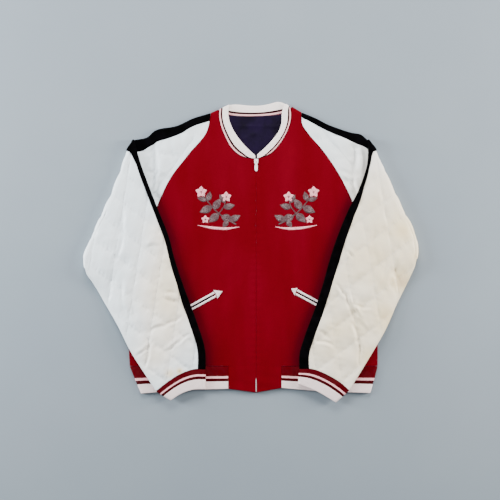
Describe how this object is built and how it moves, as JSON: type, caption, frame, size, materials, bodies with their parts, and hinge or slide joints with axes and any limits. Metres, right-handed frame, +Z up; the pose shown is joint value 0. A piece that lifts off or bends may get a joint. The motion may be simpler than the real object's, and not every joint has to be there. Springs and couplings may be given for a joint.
{
  "type": "souvenir jacket",
  "caption": "Zipped velveteen souvenir jacket with quilted satin raglan sleeves and striped rib collar, hem and cuffs, laid flat with its sleeves folded over the fronts.",
  "frame": {"origin": "on the surface that the back rests on, under the middle of the jacket's outline", "axes": "+X towards the wearer's left side, +Y towards the collar, +Z up out of the fronts"},
  "size_m": [0.813, 0.723, 0.0258],
  "materials": {
    "velveteen": "red cotton velveteen with a short even pile",
    "satin": "white acetate satin, quilted in diamonds over thin wadding",
    "velvet": "black rayon velvet",
    "rib": "wool and cotton rib knit, white with dark red and pale pink stripes",
    "lining": "dark purple lining satin",
    "piping": "white cord piping and satin-stitched thread",
    "tape": "dark red woven cotton zip tape",
    "zip_metal": "nickel-plated zinc"
  },
  "bodies": {
    "jacket": {"back_panel": "velveteen", "back_lining": "lining", "collar_rib": "rib", "hem_rib": "rib", "front_right": "velveteen", "front_left": "velveteen", "hem_tab_right": "velveteen", "hem_tab_left": "velveteen", "zip_tape_right": "tape", "zip_tape_left": "tape", "sleeve_back_right": "satin", "sleeve_back_left": "satin", "sleeve_front_right": "satin", "sleeve_front_left": "satin", "sleeve_stripe_right": "velvet", "sleeve_stripe_left": "velvet", "cuff_right": "rib", "cuff_left": "rib", "pocket_right_upper_welt": "piping", "pocket_right_lower_welt": "piping", "pocket_right_arrowhead": "piping", "pocket_left_upper_welt": "piping", "pocket_left_lower_welt": "piping", "pocket_left_arrowhead": "piping", "zip_box": "zip_metal", "zip_slider": "zip_metal"},
    "pull_tab": {"zip_pull": "zip_metal"}
  },
  "joints": [
    {"name": "pull_tab_swing", "type": "hinge", "parent": "jacket", "child": "pull_tab", "pos_m": [0.01, 0.217, 0.0108], "axis": [-1, 0, 0], "range_deg": [0, 170]}
  ]
}
